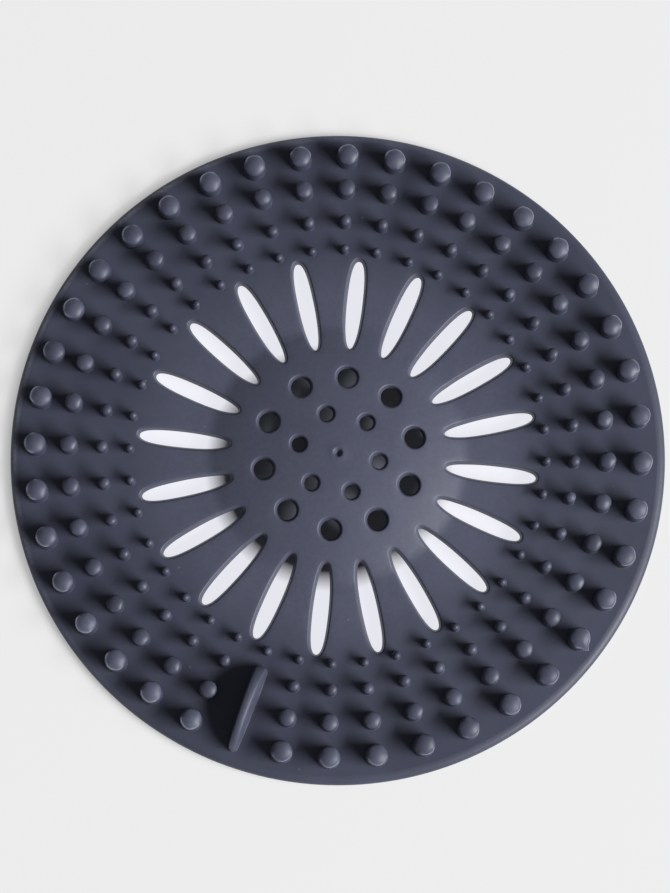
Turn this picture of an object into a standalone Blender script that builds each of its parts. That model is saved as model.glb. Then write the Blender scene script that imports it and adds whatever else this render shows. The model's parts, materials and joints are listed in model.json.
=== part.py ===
"""A round sink strainer of soft rubber, in metres, with +Z up.

The strainer lies on its rim at z = 0, centred on the Z axis. A low dome carries drain holes
round its crown, a ring of slots surrounds them, and four rows of pegs cover the outer band.
A lift tab stands among the pegs on a flexible root, and four suction cups sit underneath.
"""

import math

import bmesh
import bpy
from mathutils import Matrix

# Whole strainer, whose radius is what its hub, slots, rows of pegs and rim add up to
CROWN_HEIGHT = 0.0075
SHEET = 0.0016
GAP = 0.0003
OVERRUN = 0.002
COARSE_STEPS = 40
FINE_STEPS = 80
DOME_STRETCHES = 5
WEB_STRETCHES = 4
BAND_STRETCHES = 1
SHARP_ANGLE = math.radians(35)

# Rim: an upright edge, a rounded strip up to the band's level, and a flat foot
RIM_WALL = 0.00175
RIM_LEVEL_WIDTH = 0.0007
RIM_STRIP_WIDTH = 0.0017
RIM_STRIP_STEPS = 4
RIM_HEIGHT = 0.0026

# Band of pegs: rows counted outwards from the slots
BAND_RISE = 0.0008
PEG_ROW_COUNT = 40
SLOT_TO_INNER_ROW = 0.0016
INNER_TO_THIRD_ROW = 0.0054
THIRD_TO_SECOND_ROW = 0.0065
SECOND_TO_OUTER_ROW = 0.0067
OUTER_PEG_HEIGHT = 0.0051
OUTER_PEG_TIP_RADIUS = 0.0021
OUTER_PEG_ROOT_RADIUS = 0.0022
SECOND_PEG_HEIGHT = 0.0049
SECOND_PEG_TIP_RADIUS = 0.0017
SECOND_PEG_ROOT_RADIUS = 0.0018
THIRD_PEG_HEIGHT = 0.0047
THIRD_PEG_TIP_RADIUS = 0.0011
THIRD_PEG_ROOT_RADIUS = 0.0012
INNER_PEG_HEIGHT = 0.0031
INNER_PEG_TIP_RADIUS = 0.00078
INNER_PEG_ROOT_RADIUS = 0.0009
PEG_DOME_SHARE = 0.35

# Slots between the hub and the band
SLOT_COUNT = 20
SLOT_START_ANGLE = math.radians(84)
SLOT_LENGTH = 0.0180
SLOT_WIDTH = 0.0037
SLOT_WIDEST_SHARE = 0.54
SLOT_FLANK_SHARE = 0.55
SLOT_INNER_NOSE = 0.0008
SLOT_OUTER_NOSE = 0.0012
SLOT_RESOLUTION = 4
RIB_INSET = 0.0015

# Drain holes in the hub: rings counted from the middle outwards
SMALL_HOLE_COUNT = 6
SMALL_HOLE_RADIUS = 0.00165
SMALL_HOLE_RING_RADIUS = 0.0081
SMALL_HOLE_START_ANGLE = math.radians(48)
LARGE_HOLE_COUNT = 10
LARGE_HOLE_RADIUS = 0.0022
SMALL_TO_LARGE_RING = 0.0071
LARGE_RING_TO_SLOT = 0.0064
SLOT_TO_DOME_EDGE = 0.0039
HOLE_SIDES = 12
GATE_PIT_RADIUS = 0.0008
GATE_PIT_SIDES = 8

# Lift tab, in place of one peg of each of the three outer rows
TAB_PLACE = 18
TAB_HEIGHT = 0.0065
TAB_THICKNESS = 0.0018
TAB_ROOT_RADIUS = 0.0012
TAB_OUTER_REACH = 0.0023
TAB_INNER_REACH = 0.0023
TAB_EDGE_SHARE = 0.35
TAB_ARCH_SHARE = 0.6
TAB_EDGE_SEGMENTS = 2
TAB_EDGE_ANGLE = math.radians(50)
TAB_RESOLUTION = 6
TAB_ROOT_SIDES = 16

# Suction cups under the band
CUP_COUNT = 4
CUP_START_ANGLE = math.radians(45)
CUP_RADIUS = 0.0070
CUP_BOSS_RADIUS = 0.0022
CUP_LIP_WIDTH = 0.0005
CUP_LIP_THICKNESS = 0.0004
CUP_HOLLOW_SHARE = 0.55
CUP_CROWN_SHARE = 0.75
CUP_WAIST_SHARE = 0.5
CUP_STEPS = 24

# Places worked out from the sizes above
LARGE_HOLE_RING_RADIUS = SMALL_HOLE_RING_RADIUS + SMALL_TO_LARGE_RING
SLOT_INNER_RADIUS = LARGE_HOLE_RING_RADIUS + LARGE_RING_TO_SLOT
SLOT_OUTER_RADIUS = SLOT_INNER_RADIUS + SLOT_LENGTH
DOME_RADIUS = SLOT_INNER_RADIUS + SLOT_TO_DOME_EDGE
INNER_ROW_RADIUS = SLOT_OUTER_RADIUS + SLOT_TO_INNER_ROW
THIRD_ROW_RADIUS = INNER_ROW_RADIUS + INNER_TO_THIRD_ROW
SECOND_ROW_RADIUS = THIRD_ROW_RADIUS + THIRD_TO_SECOND_ROW
OUTER_ROW_RADIUS = SECOND_ROW_RADIUS + SECOND_TO_OUTER_ROW
RIM_INNER_RADIUS = OUTER_ROW_RADIUS + OUTER_PEG_ROOT_RADIUS + GAP + GAP
STRIP_RADIUS = RIM_INNER_RADIUS + RIM_LEVEL_WIDTH
RADIUS = STRIP_RADIUS + RIM_STRIP_WIDTH
RIB_INNER_RADIUS = SLOT_INNER_RADIUS + RIB_INSET
RIB_OUTER_RADIUS = SLOT_OUTER_RADIUS - RIB_INSET
BAND_SLOPE = BAND_RISE / (STRIP_RADIUS - DOME_RADIUS)
DOME_HEIGHT = CROWN_HEIGHT - RIM_HEIGHT - BAND_RISE
SLOT_PITCH = math.tau / SLOT_COUNT
PEG_PITCH = math.tau / PEG_ROW_COUNT
PEG_START_ANGLE = SLOT_START_ANGLE + SLOT_PITCH / 4
TAB_ANGLE = PEG_START_ANGLE + TAB_PLACE * PEG_PITCH
WELD_DISTANCE = SHEET / 1000

RUBBER_COLOUR = (0.068, 0.072, 0.098, 1.0)
RUBBER_ROUGHNESS = 0.5

PEG_ROWS = (
    {
        "node": "outer_peg_ring",
        "radius": OUTER_ROW_RADIUS,
        "height": OUTER_PEG_HEIGHT,
        "tip": OUTER_PEG_TIP_RADIUS,
        "root": OUTER_PEG_ROOT_RADIUS,
        "sides": 10,
        "dome_rings": 2,
        "steps": FINE_STEPS,
    },
    {
        "node": "second_peg_ring",
        "radius": SECOND_ROW_RADIUS,
        "height": SECOND_PEG_HEIGHT,
        "tip": SECOND_PEG_TIP_RADIUS,
        "root": SECOND_PEG_ROOT_RADIUS,
        "sides": 8,
        "dome_rings": 2,
        "steps": FINE_STEPS,
    },
    {
        "node": "third_peg_ring",
        "radius": THIRD_ROW_RADIUS,
        "height": THIRD_PEG_HEIGHT,
        "tip": THIRD_PEG_TIP_RADIUS,
        "root": THIRD_PEG_ROOT_RADIUS,
        "sides": 8,
        "dome_rings": 1,
        "steps": COARSE_STEPS,
    },
    {
        "node": "inner_peg_ring",
        "radius": INNER_ROW_RADIUS,
        "height": INNER_PEG_HEIGHT,
        "tip": INNER_PEG_TIP_RADIUS,
        "root": INNER_PEG_ROOT_RADIUS,
        "sides": 6,
        "dome_rings": 1,
        "steps": COARSE_STEPS,
    },
)


def top_height(radius):
    """Height of the sheet's upper surface: the nearly flat band and web, then the dome."""
    if radius >= DOME_RADIUS:
        return RIM_HEIGHT + BAND_SLOPE * (STRIP_RADIUS - radius)
    return CROWN_HEIGHT - DOME_HEIGHT * (radius / DOME_RADIUS) ** 2


def under_height(radius):
    """Height of the sheet's underside."""
    return top_height(radius) - SHEET


def clear_scene():
    """Remove whatever objects the file holds."""
    for item in list(bpy.data.objects):
        bpy.data.objects.remove(item, do_unlink=True)


def new_collection(name):
    """A collection linked to the scene."""
    collection = bpy.data.collections.new(name)
    bpy.context.scene.collection.children.link(collection)
    return collection


def rubber(name):
    """The dark slate rubber of one sub-part."""
    material = bpy.data.materials.new(name)
    material.use_nodes = True
    shader = material.node_tree.nodes["Principled BSDF"]
    shader.inputs["Base Color"].default_value = RUBBER_COLOUR
    shader.inputs["Roughness"].default_value = RUBBER_ROUGHNESS
    shader.inputs["Metallic"].default_value = 0.0
    return material


def new_object(name, mesh, collection):
    """An object in a collection."""
    item = bpy.data.objects.new(name, mesh)
    collection.objects.link(item)
    return item


def new_cutter(name, mesh):
    """An object that only shapes others."""
    item = new_object(name, mesh, bpy.data.collections["cutters"])
    item.hide_render = True
    item.display_type = "WIRE"
    return item


def new_part(name, mesh, material):
    """A named piece of the strainer."""
    mesh.materials.clear()
    mesh.materials.append(material)
    return new_object(name, mesh, bpy.data.collections["sink_strainer"])


def finished_mesh(item):
    """The mesh that an object shows, with its modifiers, welded, and the object removed."""
    bpy.context.view_layer.update()
    graph = bpy.context.evaluated_depsgraph_get()
    mesh = bpy.data.meshes.new_from_object(item.evaluated_get(graph), depsgraph=graph)
    mesh.transform(item.matrix_world)
    shape = bmesh.new()
    shape.from_mesh(mesh)
    bmesh.ops.remove_doubles(shape, verts=shape.verts, dist=WELD_DISTANCE)
    shape.to_mesh(mesh)
    shape.free()
    bpy.data.objects.remove(item, do_unlink=True)
    return mesh


def shade(mesh):
    """Smooth shading that keeps the hard edges."""
    mesh.shade_smooth()
    mesh.set_sharp_from_angle(angle=SHARP_ANGLE)


def turned_mesh(profile, steps):
    """A solid of revolution round Z from (radius, height) points that run top to bottom outside."""
    mesh = bpy.data.meshes.new("turned")
    points = [(radius, 0.0, height) for radius, height in profile]
    edges = [(index, index + 1) for index in range(len(points) - 1)]
    if profile[0][0] > 0:
        edges.append((len(points) - 1, 0))
    mesh.from_pydata(points, edges, [])
    item = new_cutter("turned", mesh)
    screw = item.modifiers.new("Turn", "SCREW")
    screw.axis = "Z"
    screw.steps = steps
    screw.render_steps = steps
    screw.use_merge_vertices = True
    screw.merge_threshold = WELD_DISTANCE
    return finished_mesh(item)


def outline_mesh(points, handles, resolution, half_depth):
    """A closed flat Bezier outline, filled and given depth both ways along Z."""
    curve = bpy.data.curves.new("outline", "CURVE")
    curve.dimensions = "2D"
    curve.fill_mode = "BOTH"
    curve.extrude = half_depth
    curve.resolution_u = resolution
    spline = curve.splines.new("BEZIER")
    spline.bezier_points.add(len(points) - 1)
    spline.use_cyclic_u = True
    for knot, point, (before, after) in zip(spline.bezier_points, points, handles):
        knot.handle_left_type = "FREE"
        knot.handle_right_type = "FREE"
        knot.co = (*point, 0.0)
        knot.handle_left = (*before, 0.0)
        knot.handle_right = (*after, 0.0)
    return finished_mesh(new_cutter("outline", curve))


def copies_mesh(mesh, places):
    """Copies of a mesh at several places, joined into one mesh of separate bodies."""
    joined = bmesh.new()
    for place in places:
        copy = mesh.copy()
        copy.transform(place)
        joined.from_mesh(copy)
        bpy.data.meshes.remove(copy)
    result = bpy.data.meshes.new("copies")
    joined.to_mesh(result)
    joined.free()
    return result


def turn_to(angle):
    """A turn about the strainer's axis."""
    return Matrix.Rotation(angle, 4, "Z")


def around(angle, radius, height=0.0):
    """A place at an angle and radius about the strainer's axis, facing outwards."""
    return turn_to(angle) @ Matrix.Translation((radius, 0.0, height))


def combine(item, other, operation):
    """Cut, join or intersect a piece with another object."""
    step = item.modifiers.new(operation.title(), "BOOLEAN")
    step.operation = operation
    step.solver = "EXACT"
    step.object = other


def ring_profile(inner, outer, count):
    """The sheet's section between two radii, with count stretches and a bend at the dome's edge."""
    radii = [inner + (outer - inner) * index / count for index in range(count + 1)]
    if inner < DOME_RADIUS < outer:
        radii = sorted([*radii, DOME_RADIUS])
    above = [(radius, top_height(radius)) for radius in radii]
    below = [(radius, under_height(radius)) for radius in reversed(radii)]
    return above + below


def slot_mesh():
    """One drain slot as a solid along +X: pointed towards the hub and blunter outside."""
    widest = SLOT_INNER_RADIUS + SLOT_LENGTH * SLOT_WIDEST_SHARE
    half = SLOT_WIDTH / 2
    inner_flank = (widest - SLOT_INNER_RADIUS) * SLOT_FLANK_SHARE
    outer_flank = (SLOT_OUTER_RADIUS - widest) * SLOT_FLANK_SHARE
    points = [(SLOT_INNER_RADIUS, 0.0), (widest, -half), (SLOT_OUTER_RADIUS, 0.0), (widest, half)]
    handles = [
        ((SLOT_INNER_RADIUS, SLOT_INNER_NOSE), (SLOT_INNER_RADIUS, -SLOT_INNER_NOSE)),
        ((widest - inner_flank, -half), (widest + outer_flank, -half)),
        ((SLOT_OUTER_RADIUS, -SLOT_OUTER_NOSE), (SLOT_OUTER_RADIUS, SLOT_OUTER_NOSE)),
        ((widest + outer_flank, half), (widest - inner_flank, half)),
    ]
    return outline_mesh(points, handles, SLOT_RESOLUTION, CROWN_HEIGHT + OVERRUN)


def slots_cutter():
    """All the drain slots."""
    angles = [SLOT_START_ANGLE + index * SLOT_PITCH for index in range(SLOT_COUNT)]
    return new_cutter("slots", copies_mesh(slot_mesh(), [turn_to(angle) for angle in angles]))


def holes_cutter(name, radius, ring_radius, count, start_angle):
    """A ring of round drain holes through the hub."""
    shape = bmesh.new()
    bmesh.ops.create_cone(
        shape,
        cap_ends=True,
        segments=HOLE_SIDES,
        radius1=radius,
        radius2=radius,
        depth=2 * (CROWN_HEIGHT + OVERRUN),
    )
    mesh = bpy.data.meshes.new(name)
    shape.to_mesh(mesh)
    shape.free()
    places = [around(start_angle + index * math.tau / count, ring_radius) for index in range(count)]
    return new_cutter(name, copies_mesh(mesh, places))


def gate_pit_cutter():
    """The small pit that moulding leaves at the crown."""
    shape = bmesh.new()
    bmesh.ops.create_uvsphere(
        shape, u_segments=GATE_PIT_SIDES, v_segments=GATE_PIT_SIDES, radius=GATE_PIT_RADIUS
    )
    mesh = bpy.data.meshes.new("gate_pit")
    shape.to_mesh(mesh)
    shape.free()
    pit = new_cutter("gate_pit", mesh)
    pit.location.z = CROWN_HEIGHT
    return pit


def make_hub(slots):
    """The domed hub with its two rings of drain holes."""
    profile = ring_profile(0.0, RIB_INNER_RADIUS - GAP, DOME_STRETCHES)
    mesh = turned_mesh(profile, COARSE_STEPS)
    mesh.transform(turn_to(SLOT_START_ANGLE))
    hub = new_part("hub_dome", mesh, rubber("hub_rubber"))
    large = holes_cutter(
        "large_holes", LARGE_HOLE_RADIUS, LARGE_HOLE_RING_RADIUS, LARGE_HOLE_COUNT, SLOT_START_ANGLE
    )
    small = holes_cutter(
        "small_holes",
        SMALL_HOLE_RADIUS,
        SMALL_HOLE_RING_RADIUS,
        SMALL_HOLE_COUNT,
        SMALL_HOLE_START_ANGLE,
    )
    for cutter in (large, small, gate_pit_cutter(), slots):
        combine(hub, cutter, "DIFFERENCE")
    shade(hub.data)
    return hub


def rib_wedge():
    """The wedge between two neighbouring slots' middle lines, along +X."""
    reach = SLOT_OUTER_RADIUS + OVERRUN
    half = SLOT_PITCH / 2
    low = (reach * math.cos(half), -reach * math.sin(half))
    high = (reach * math.cos(half), reach * math.sin(half))
    corners = [(0.0, 0.0), low, high]
    mesh = outline_mesh(corners, [(c, c) for c in corners], 1, CROWN_HEIGHT + OVERRUN)
    return new_cutter("rib_wedge", mesh)


def rib_mesh():
    """One rib of the web along +X, between two slots."""
    profile = ring_profile(RIB_INNER_RADIUS, RIB_OUTER_RADIUS, WEB_STRETCHES)
    rib = new_cutter("rib", turned_mesh(profile, COARSE_STEPS))
    sides = [turn_to(-SLOT_PITCH / 2), turn_to(SLOT_PITCH / 2)]
    combine(rib, new_cutter("rib_sides", copies_mesh(slot_mesh(), sides)), "DIFFERENCE")
    combine(rib, rib_wedge(), "INTERSECT")
    return finished_mesh(rib)


def make_ribs():
    """The ribs that carry the hub from the band."""
    mesh = rib_mesh()
    shade(mesh)
    material = rubber("web_rubber")
    ribs = []
    for index in range(SLOT_COUNT):
        rib = new_part(f"web_rib_{index + 1:02d}", mesh, material)
        rib.rotation_euler.z = SLOT_START_ANGLE + (index + 0.5) * SLOT_PITCH
        ribs.append(rib)
    return ribs


def peg_mesh(row):
    """One peg with a low dome, sunk into the sheet at its root."""
    surface = top_height(row["radius"])
    dome = row["tip"] * PEG_DOME_SHARE
    shoulder = surface + row["height"] - dome
    profile = []
    for index in range(row["dome_rings"] + 1):
        turn = index / row["dome_rings"] * math.pi / 2
        profile.append((row["tip"] * math.sin(turn), shoulder + dome * math.cos(turn)))
    profile += [(row["root"], surface - SHEET / 2), (0.0, surface - SHEET / 2)]
    return turned_mesh(profile, row["sides"])


def row_edges(index):
    """Inner and outer radius of a row's slice of the band."""
    row = PEG_ROWS[index]
    if index == 0:
        outer = RIM_INNER_RADIUS - GAP
    else:
        beyond = PEG_ROWS[index - 1]
        outer = (row["radius"] + row["root"] + beyond["radius"] - beyond["root"] - GAP) / 2
    if index == len(PEG_ROWS) - 1:
        inner = RIB_OUTER_RADIUS + GAP
    else:
        within = PEG_ROWS[index + 1]
        inner = (within["radius"] + within["root"] + row["radius"] - row["root"] + GAP) / 2
    return inner, outer


def make_peg_ring(index, slots):
    """One row of pegs on its slice of the band."""
    row = PEG_ROWS[index]
    innermost = index == len(PEG_ROWS) - 1
    inner, outer = row_edges(index)
    slice_mesh = turned_mesh(ring_profile(inner, outer, BAND_STRETCHES), row["steps"])
    slice_mesh.transform(turn_to(PEG_START_ANGLE + math.pi / row["steps"]))
    ring = new_part(row["node"], slice_mesh, rubber(row["node"]))
    if innermost:
        combine(ring, slots, "DIFFERENCE")
    places = [place for place in range(PEG_ROW_COUNT) if innermost or place != TAB_PLACE]
    turns = [around(PEG_START_ANGLE + place * PEG_PITCH, row["radius"]) for place in places]
    pegs = new_cutter(row["node"] + "_pegs", copies_mesh(peg_mesh(row), turns))
    combine(ring, pegs, "UNION")
    shade(ring.data)
    return ring


def make_rim():
    """The rim with its rounded strip, its upright edge and the flat foot that the strainer lies on."""
    profile = [(RIM_INNER_RADIUS, top_height(RIM_INNER_RADIUS))]
    for index in range(RIM_STRIP_STEPS + 1):
        turn = index / RIM_STRIP_STEPS * math.pi / 2
        out = RIM_STRIP_WIDTH * math.sin(turn)
        profile.append((STRIP_RADIUS + out, RIM_WALL + (RIM_HEIGHT - RIM_WALL) * math.cos(turn)))
    profile += [(RADIUS, 0.0), (RIM_INNER_RADIUS, 0.0)]
    rim = new_part("rim_skirt", turned_mesh(profile, FINE_STEPS), rubber("rim_rubber"))
    shade(rim.data)
    return rim


def tab_blade_mesh(length, rise):
    """The arched blade of the lift tab, in the XY plane, with +Y up."""
    half = length / 2
    arch = half * TAB_ARCH_SHARE
    lift = rise * TAB_ARCH_SHARE
    points = [(half, 0.0), (0.0, rise), (-half, 0.0)]
    handles = [
        ((half, 0.0), (half, lift)),
        ((arch, rise), (-arch, rise)),
        ((-half, lift), (-half, 0.0)),
    ]
    return outline_mesh(points, handles, TAB_RESOLUTION, TAB_THICKNESS / 2)


def tab_root_mesh(length):
    """The rounded root of the lift tab, along X."""
    shape = bmesh.new()
    bmesh.ops.create_cone(
        shape,
        cap_ends=True,
        segments=TAB_ROOT_SIDES,
        radius1=TAB_ROOT_RADIUS,
        radius2=TAB_ROOT_RADIUS,
        depth=length,
        matrix=Matrix.Rotation(math.pi / 2, 4, "Y"),
    )
    mesh = bpy.data.meshes.new("tab_root")
    shape.to_mesh(mesh)
    shape.free()
    return mesh


def make_tab():
    """The lift tab, whose origin lies on the line that it flexes about."""
    inner = THIRD_ROW_RADIUS - TAB_INNER_REACH
    outer = OUTER_ROW_RADIUS + TAB_OUTER_REACH
    slope = math.atan(BAND_SLOPE)
    length = (outer - inner) / math.cos(slope)
    lift = (GAP + TAB_ROOT_RADIUS) / math.cos(slope)
    middle = (inner + outer) / 2
    blade = tab_blade_mesh(length - TAB_THICKNESS, TAB_HEIGHT - GAP - TAB_ROOT_RADIUS)
    blade.transform(Matrix.Rotation(math.pi / 2, 4, "X"))
    tab = new_part("lift_tab", blade, rubber("tab_rubber"))
    edge = tab.modifiers.new("Round", "BEVEL")
    edge.width = TAB_THICKNESS * TAB_EDGE_SHARE
    edge.segments = TAB_EDGE_SEGMENTS
    edge.limit_method = "ANGLE"
    edge.angle_limit = TAB_EDGE_ANGLE
    root = new_cutter("tab_root", tab_root_mesh(length))
    combine(tab, root, "UNION")
    place = around(TAB_ANGLE, middle, top_height(middle) + lift) @ Matrix.Rotation(slope, 4, "Y")
    tab.matrix_world = place
    root.matrix_world = place
    shade(tab.data)
    return tab


def cup_mesh():
    """One suction cup: a boss, a thin spreading lip and a hollow underneath."""
    middle = (SECOND_ROW_RADIUS + THIRD_ROW_RADIUS) / 2
    height = under_height(middle + CUP_BOSS_RADIUS) - GAP
    hollow = height * CUP_HOLLOW_SHARE
    lip_inner = CUP_RADIUS - CUP_LIP_WIDTH
    waist = (CUP_BOSS_RADIUS + CUP_RADIUS) / 2
    profile = [
        (0.0, height),
        (CUP_BOSS_RADIUS, height),
        (waist, height * CUP_WAIST_SHARE),
        (CUP_RADIUS, CUP_LIP_THICKNESS / 2),
        (CUP_RADIUS, 0.0),
        (lip_inner, 0.0),
        (lip_inner / 2, hollow * CUP_CROWN_SHARE),
        (0.0, hollow),
    ]
    return turned_mesh(profile, CUP_STEPS)


def make_cups():
    """The suction cups under the band."""
    mesh = cup_mesh()
    shade(mesh)
    material = rubber("cup_rubber")
    middle = (SECOND_ROW_RADIUS + THIRD_ROW_RADIUS) / 2
    cups = []
    for index in range(CUP_COUNT):
        cup = new_part(f"suction_cup_{index + 1}", mesh, material)
        angle = CUP_START_ANGLE + index * math.tau / CUP_COUNT
        cup.location = around(angle, middle).translation
        cups.append(cup)
    return cups


def main():
    """Model the whole strainer."""
    clear_scene()
    new_collection("sink_strainer")
    new_collection("cutters")
    slots = slots_cutter()
    pieces = [make_hub(slots), make_rim(), make_tab()]
    pieces += make_ribs()
    pieces += [make_peg_ring(index, slots) for index in range(len(PEG_ROWS))]
    pieces += make_cups()
    strainer = new_object("strainer", None, bpy.data.collections["sink_strainer"])
    for piece in pieces:
        piece.parent = strainer


if __name__ == "__main__":
    main()
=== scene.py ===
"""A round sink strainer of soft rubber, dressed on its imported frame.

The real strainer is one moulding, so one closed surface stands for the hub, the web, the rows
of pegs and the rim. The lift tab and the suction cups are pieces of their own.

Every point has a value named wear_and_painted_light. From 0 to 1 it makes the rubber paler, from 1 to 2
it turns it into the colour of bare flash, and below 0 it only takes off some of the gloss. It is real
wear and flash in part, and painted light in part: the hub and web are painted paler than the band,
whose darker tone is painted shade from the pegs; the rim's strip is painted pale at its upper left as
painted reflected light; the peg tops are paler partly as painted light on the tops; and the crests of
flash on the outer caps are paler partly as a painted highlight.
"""

import json
import math
from functools import partial

import bpy
import numpy as np
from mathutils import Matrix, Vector, noise
from mathutils.geometry import delaunay_2d_cdt


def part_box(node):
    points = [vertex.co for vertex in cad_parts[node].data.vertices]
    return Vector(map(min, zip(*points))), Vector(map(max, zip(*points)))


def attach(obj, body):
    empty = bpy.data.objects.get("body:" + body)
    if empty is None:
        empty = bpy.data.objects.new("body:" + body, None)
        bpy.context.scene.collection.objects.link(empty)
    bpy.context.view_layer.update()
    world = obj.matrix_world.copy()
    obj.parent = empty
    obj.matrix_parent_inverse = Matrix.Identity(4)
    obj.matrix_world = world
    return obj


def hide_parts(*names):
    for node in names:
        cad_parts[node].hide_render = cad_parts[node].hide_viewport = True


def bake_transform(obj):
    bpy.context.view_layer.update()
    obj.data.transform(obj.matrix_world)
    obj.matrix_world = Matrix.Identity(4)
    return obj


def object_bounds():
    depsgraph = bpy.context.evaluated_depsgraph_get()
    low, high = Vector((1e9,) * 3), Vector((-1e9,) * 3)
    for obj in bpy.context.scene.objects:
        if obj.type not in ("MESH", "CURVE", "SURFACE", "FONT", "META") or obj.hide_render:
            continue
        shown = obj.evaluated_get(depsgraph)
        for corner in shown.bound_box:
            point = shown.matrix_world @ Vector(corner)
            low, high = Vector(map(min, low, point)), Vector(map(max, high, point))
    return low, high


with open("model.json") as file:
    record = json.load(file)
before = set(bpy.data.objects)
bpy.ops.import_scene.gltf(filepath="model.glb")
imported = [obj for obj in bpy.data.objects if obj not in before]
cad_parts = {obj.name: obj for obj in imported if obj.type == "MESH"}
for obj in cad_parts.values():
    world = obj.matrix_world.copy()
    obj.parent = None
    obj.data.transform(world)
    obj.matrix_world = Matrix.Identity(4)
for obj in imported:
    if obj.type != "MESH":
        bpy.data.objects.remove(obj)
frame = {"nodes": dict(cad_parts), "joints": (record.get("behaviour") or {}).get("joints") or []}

# The frame
CAD_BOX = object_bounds()
CROWN_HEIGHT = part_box("hub_dome")[1].z
STRAINER_BODY = "strainer"
TAB_JOINT = frame["joints"][0]

# Rim, which lies a little off the middle and just inside the frame's box
RIM_INSET = 0.00008
RIM_SHIFT = (0.00007, -0.00008)
RADIUS = CAD_BOX[1].x - RIM_INSET
RIM_HEIGHT = 0.0026
RIM_INNER_RADIUS = 0.0626
RIM_STEPS = 240
RIM_ROUND = 0.00018
RIM_UNDER_FILLET = 0.0005
RIM_UNDER_FILLET_SHARE = 0.8
RIM_UNDER_FILLET_STEPS = 3
STRIP_WIDTH = 0.0017
STRIP_START_ANGLE = math.radians(9)
STRIP_POWER = 2.0
STRIP_STEPS = 9
# Painted light: the strip is painted pale towards its upper left, standing for reflected light on its
# shaded side; towards the lower right it only loses some gloss.
STRIP_PAINTED_LIGHT_WIDTH = 0.0010
STRIP_PAINTED_LIGHT_ANGLE = math.radians(150)
STRIP_MATTE = -0.35
CREASE = 0.00005

# Sheet
SHEET = 0.0016
BAND_RISE = 0.0008
DOME_RADIUS = 0.0255
SLOT_OUTER_RADIUS = 0.0395
SLOT_INNER_RADIUS = 0.0216
BAND_RADIUS = RADIUS - STRIP_WIDTH
BAND_SLOPE = BAND_RISE / (BAND_RADIUS - DOME_RADIUS)
DOME_HEIGHT = CROWN_HEIGHT - RIM_HEIGHT - BAND_RISE
WAVE_HEIGHT = 0.00012
WAVE_LENGTH = 0.022
WAVE_FADE_RADIUS = 0.0615

# Paling by wear, flash and painted light
MOST_PALING = 2.0
# Painted light: the hub and web are painted paler than the band, whose darker tone stands for the shade
# that the pegs cast on it.
HUB_PAINTED_LIGHT = 0.40
HUB_PAINTED_LIGHT_RADIUS = 0.042
HUB_PAINTED_LIGHT_FADE = 0.010
# The crests of flash are painted pale, partly as flash and partly as a painted highlight.
BURR_PALING = 1.7
# Peg tops are painted paler, partly as wear and partly as painted light on the tops.
TIP_PALING_SPREAD = 0.13
# The whole tab is painted a little paler and rougher.
TAB_PALING = 0.3

# Pegs
PEG_COUNT = 40
PEG_START_ANGLE = math.radians(88.5)
TAB_PLACE = 18
PEG_SEED = 7
PEG_LEAN = 0.00009
PEG_DRIFT = (0.00010, 0.0)
PEG_FILLET = 0.00003
PEG_GUARD = 0.00012
SHOULDER_SHARES = (0.0, 0.2, 0.35, 0.45, 0.55, 0.66, 0.8, 1.0)
CAP_SHARES = (0.7, 0.38)
CAP_UNEVENNESS = 0.03
CAP_POWER = 3
CAP_TILT = 0.05
RIPPLE_WAVES = (2, 5)
RIPPLE_PHASE = 9

# Crest of flash on the outer side of a cap, painted pale: partly flash, partly a painted highlight
BURR_RADIUS_SHARE = 0.95
BURR_WIDTH = 0.00016
BURR_REACH = 1.4
BURR_LEVEL = 0.1
BURR_RIPPLE = 0.4
BURR_SPREAD = 0.3

# Rows of pegs from the rim inwards; a nib is a drip of flash, as (direction, length), on one cap
NIB_WIDTH = 0.26
NO_NIB = (0.0, 0.0)
# Each row's paling of its caps is partly wear and partly painted light on the tops.
PEG_ROWS = (
    {
        "radius": 0.0598, "height": 0.0051, "tip": 0.0021, "root": 0.0022, "shoulder": 0.00044,
        "dome_share": 0.35, "sides": 32, "burr": 0.00026, "wear_and_painted_light": 0.38,
        "shift": (0.00008, 0.00007), "skew": 0.00005,
        "nibs": {23: (math.radians(100), 0.0005), 26: (math.radians(-60), 0.0014)},
    },
    {
        "radius": 0.0531, "height": 0.0049, "tip": 0.0017, "root": 0.0018, "shoulder": 0.00036,
        "dome_share": 0.36, "sides": 28, "burr": 0.0, "wear_and_painted_light": 0.15,
        "shift": (0.0, 0.00015), "skew": 0.00010, "nibs": {},
    },
    {
        "radius": 0.0466, "height": 0.0047, "tip": 0.0011, "root": 0.0012, "shoulder": 0.00027,
        "dome_share": 0.50, "sides": 22, "burr": 0.0, "wear_and_painted_light": 0.16,
        "shift": (0.0, -0.00002), "skew": 0.00011, "nibs": {},
    },
    {
        "radius": 0.0412, "height": 0.0031, "tip": 0.00078, "root": 0.0009, "shoulder": 0.00020,
        "dome_share": 0.60, "sides": 18, "burr": 0.0, "wear_and_painted_light": 0.16,
        "shift": (0.0, -0.00010), "skew": 0.00017, "nibs": {},
    },
)

# Slots and holes
SLOT_COUNT = 20
SLOT_START_ANGLE = math.radians(84)
SLOT_SHIFT = (0.0, -0.00018)
SLOT_WIDTH = 0.0031
SLOT_WIDEST_SHARE = 0.54
SLOT_FLANK_SHARE = 0.55
SLOT_INNER_NOSE = 0.0009
SLOT_OUTER_NOSE = 0.0013
SLOT_STEPS = 14
SLOT_DRAFT = 0.00034
HOLE_RINGS = (
    {"count": 10, "radius": 0.0022, "ring": 0.0152, "start": math.radians(84)},
    {"count": 6, "radius": 0.00165, "ring": 0.0081, "start": math.radians(48)},
)
HOLE_SHIFT = (0.00015, 0.00010)
HOLE_STEPS = 32
HOLE_DRAFT = -0.00030
LIP = 0.00045
LIP_STEPS = 5
UNDER_LIP = 0.00020
UNDER_LIP_STEPS = 2

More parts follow.
